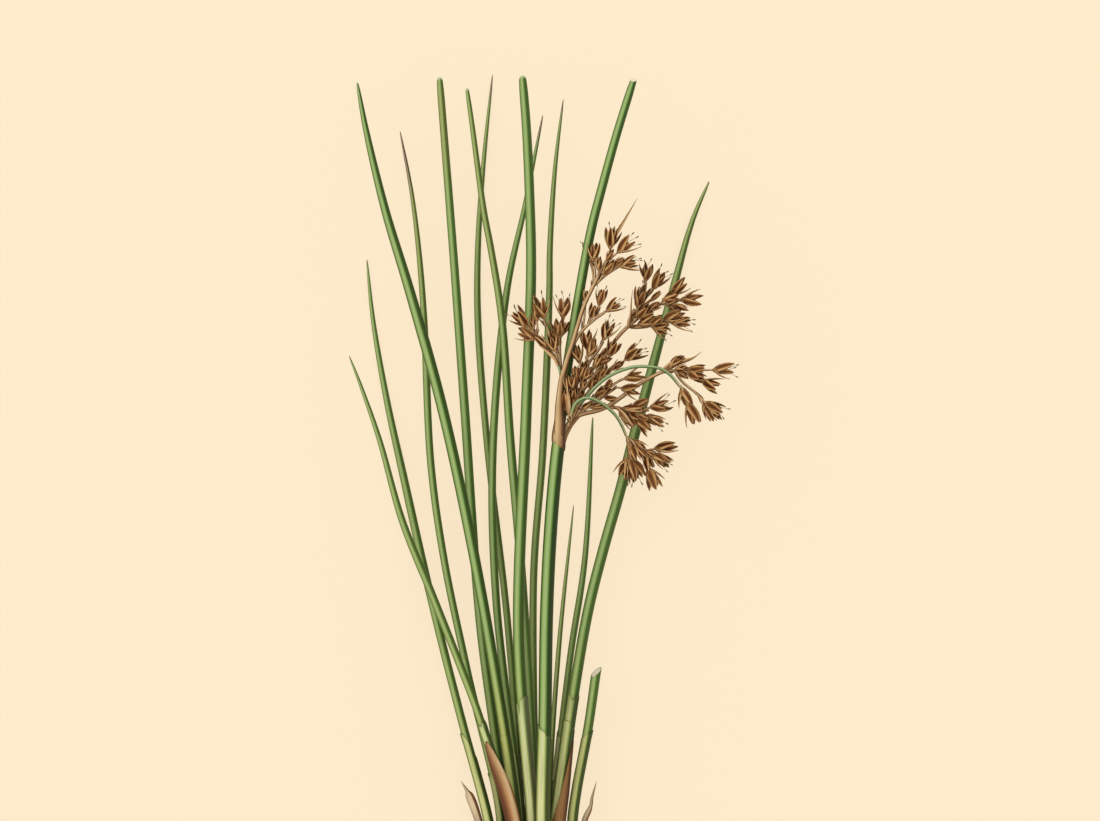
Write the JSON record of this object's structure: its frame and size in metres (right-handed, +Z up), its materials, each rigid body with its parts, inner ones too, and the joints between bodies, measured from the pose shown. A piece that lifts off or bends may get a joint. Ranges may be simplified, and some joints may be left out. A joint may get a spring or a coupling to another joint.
{
  "type": "soft rush tuft",
  "caption": "Tuft of soft rush lying flat: round green stems in pale leaf sheaths on a short rhizome, with brown scale leaves and one brown panicle at the side of a stem.",
  "frame": {"origin": "On the surface that the tuft lies on, under the middle of the rhizome's flat underside.", "axes": "+Y runs along the stems from the rhizome to the tips, +X is to the right seen from above with the tips away, and +Z is up from the surface."},
  "size_m": [0.0918, 0.2136, 0.0346],
  "materials": {
    "stem": "green, smooth and finely ribbed, satin",
    "sheath": "pale yellow-green, papery, matt",
    "scale_leaf": "reddish brown, dry and ribbed, matt",
    "bract_sheath": "tan, dry, matt",
    "peduncle": "grey-green, smooth, satin",
    "panicle": "brown with pale edges, dry, matt",
    "rhizome": "dark brown, rough, matt"
  },
  "bodies": {
    "root": {"rhizome": "rhizome", "stem_01": "stem", "sheath_01": "sheath", "stem_02": "stem", "sheath_02": "sheath", "stem_03": "stem", "sheath_03": "sheath", "stem_04": "stem", "sheath_04": "sheath", "stem_05": "stem", "sheath_05": "sheath", "stem_06": "stem", "sheath_06": "sheath", "stem_07": "stem", "sheath_07": "sheath", "stem_08": "stem", "sheath_08": "sheath", "stem_09": "stem", "sheath_09": "sheath", "stem_10": "stem", "sheath_10": "sheath", "stem_11": "stem", "sheath_11": "sheath", "stem_12": "stem", "sheath_12": "sheath", "stem_13": "stem", "sheath_13": "sheath", "cut_stem": "stem", "cut_sheath": "sheath", "flowering_stem": "stem", "flowering_sheath": "sheath", "scale_leaf_01": "scale_leaf", "scale_leaf_02": "scale_leaf", "scale_leaf_03": "scale_leaf", "scale_leaf_04": "scale_leaf", "bract": "stem", "bract_sheath": "bract_sheath", "peduncle_far_right": "peduncle", "peduncle_low": "peduncle", "spray_main": "panicle", "spray_upper_right": "panicle", "spray_centre": "panicle", "spray_right": "panicle", "spray_low": "panicle"}
  },
  "joints": []
}
